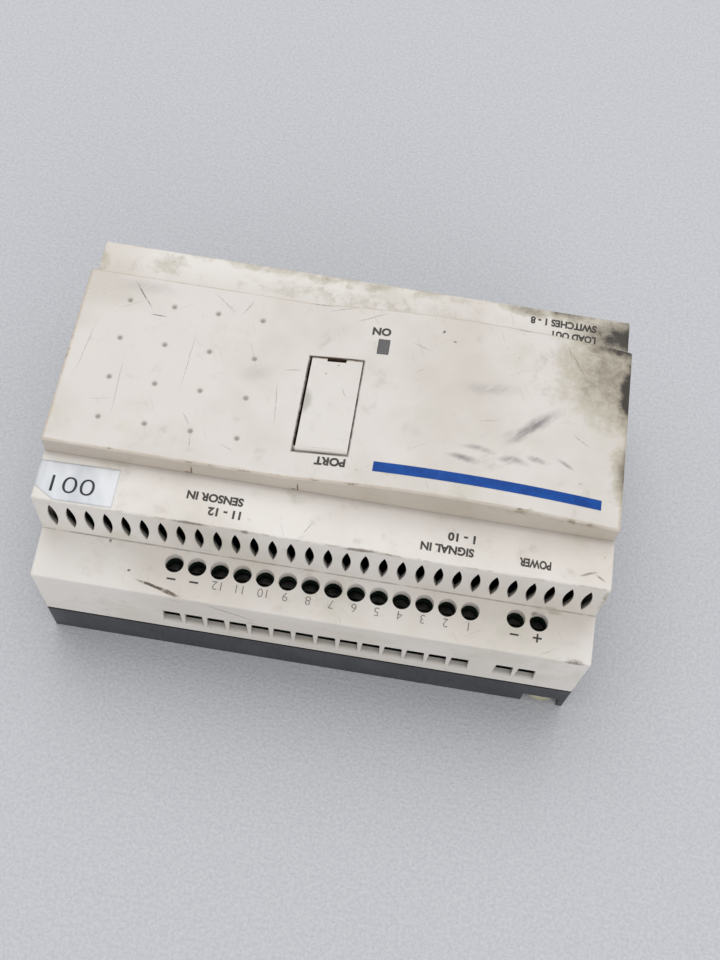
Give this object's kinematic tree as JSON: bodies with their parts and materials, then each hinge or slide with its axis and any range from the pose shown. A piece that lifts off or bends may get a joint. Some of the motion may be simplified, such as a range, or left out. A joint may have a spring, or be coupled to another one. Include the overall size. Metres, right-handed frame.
{
  "type": "plc module",
  "caption": "Compact PLC module with stepped cream casing, screw terminals on both sides, port hatch, rail latches and pull-out fixing lugs.",
  "frame": {"origin": "centre of the bounding box at the rear plane that lies against the wall", "axes": "+X along the module to the reader's right, +Y towards the input terminals, +Z out of the front face"},
  "size_m": [0.1246, 0.09, 0.0595],
  "materials": {
    "cream_casing": "matt moulded, fine texture",
    "dark_casing": "satin moulded",
    "cream_lug": "satin moulded",
    "smoked_guide": "polished, smoked",
    "marking_tape": "laminated tape",
    "spring_steel": "drawn wire",
    "circuit_board": "solder mask over glass laminate",
    "zinc_steel": "zinc plated",
    "black_moulding": "moulded",
    "green_moulding": "moulded",
    "tinned_brass": "tinned",
    "relay_case": "moulded",
    "capacitor_can": "drawn can",
    "ferrite": "sintered",
    "blue_coating": "dipped epoxy",
    "orange_coating": "dipped epoxy",
    "fuse_barrel": "ceramic barrel",
    "lamp_lens": "diffuse lens",
    "gilt_brass": "gold flashed"
  },
  "bodies": {
    "root": {"board_spacers": "zinc_steel", "crystal": "zinc_steel", "front_cover": "cream_casing", "input_clamps": "zinc_steel", "input_contacts": "tinned_brass", "input_filters": "orange_coating", "input_screws": "zinc_steel", "input_terminal_block": "green_moulding", "latch_spring_left": "spring_steel", "latch_spring_right": "spring_steel", "link_header": "black_moulding", "link_socket": "black_moulding", "logic_board": "circuit_board", "main_housing": "cream_casing", "memory_chip": "black_moulding", "output_clamps": "zinc_steel", "output_contacts": "tinned_brass", "output_relays": "relay_case", "output_screws": "zinc_steel", "output_terminal_block": "green_moulding", "port_connector": "black_moulding", "port_contacts": "gilt_brass", "power_board": "circuit_board", "power_inductor": "ferrite", "processor_chip": "black_moulding", "rear_base": "dark_casing", "regulator": "black_moulding", "relay_driver_chip": "black_moulding", "status_lamp": "lamp_lens", "status_light_guide": "smoked_guide", "supply_capacitors": "capacitor_can", "supply_contacts": "tinned_brass", "supply_fuse": "fuse_barrel", "supply_terminal_block": "green_moulding", "supply_varistor": "blue_coating", "user_label": "marking_tape"},
    "port_hatch": {"port_hatch": "cream_casing"},
    "lug_input_side": {"fixing_lug_input_side": "cream_lug"},
    "lug_output_side": {"fixing_lug_output_side": "cream_lug"},
    "latch_left": {"rail_latch_left": "dark_casing"},
    "latch_right": {"rail_latch_right": "dark_casing"},
    "screw_minus": {"supply_screw_minus": "zinc_steel"},
    "screw_plus": {"supply_screw_plus": "zinc_steel"},
    "clamp_minus": {"supply_clamp_minus": "zinc_steel"},
    "clamp_plus": {"supply_clamp_plus": "zinc_steel"}
  },
  "joints": [
    {"name": "hatch_hinge", "type": "hinge", "parent": "root", "child": "port_hatch", "pos_m": [0.00304, 0.01455, 0.05627], "axis": [-0.9908, 0, 0.1351], "range_deg": [0, 90]},
    {"name": "lug_input_slide", "type": "slide", "parent": "root", "child": "lug_input_side", "axis": [0, 1, 0], "range_m": [0, 0.0105]},
    {"name": "lug_output_slide", "type": "slide", "parent": "root", "child": "lug_output_side", "axis": [0, -1, 0], "range_m": [0, 0.0105]},
    {"name": "latch_left_slide", "type": "slide", "parent": "root", "child": "latch_left", "axis": [0, -1, 0], "range_m": [0, 0.004], "stiffness_N_per_m": 400, "springref_m": -0.003, "deforming": ["latch_spring_left"]},
    {"name": "latch_right_slide", "type": "slide", "parent": "root", "child": "latch_right", "axis": [0, -1, 0], "range_m": [0, 0.004], "stiffness_N_per_m": 400, "springref_m": -0.003, "deforming": ["latch_spring_right"]},
    {"name": "clamp_minus_slide", "type": "slide", "parent": "root", "child": "clamp_minus", "axis": [0, 0, -1], "range_m": [0, 0.003]},
    {"name": "screw_minus_turn", "type": "hinge", "parent": "root", "child": "screw_minus", "pos_m": [-0.0447, 0.0373, 0.0302], "axis": [0, 0, 1], "range_deg": [0, 2161]},
    {"name": "clamp_plus_slide", "type": "slide", "parent": "root", "child": "clamp_plus", "axis": [0, 0, -1], "range_m": [0, 0.003]},
    {"name": "screw_plus_turn", "type": "hinge", "parent": "root", "child": "screw_plus", "pos_m": [-0.04978, 0.0373, 0.0302], "axis": [0, 0, 1], "range_deg": [0, 2161]}
  ],
  "couplings": [
    {"joint": "screw_minus_turn", "follows": "clamp_minus_slide", "rad_per_m": 12566},
    {"joint": "screw_plus_turn", "follows": "clamp_plus_slide", "rad_per_m": 12566}
  ]
}
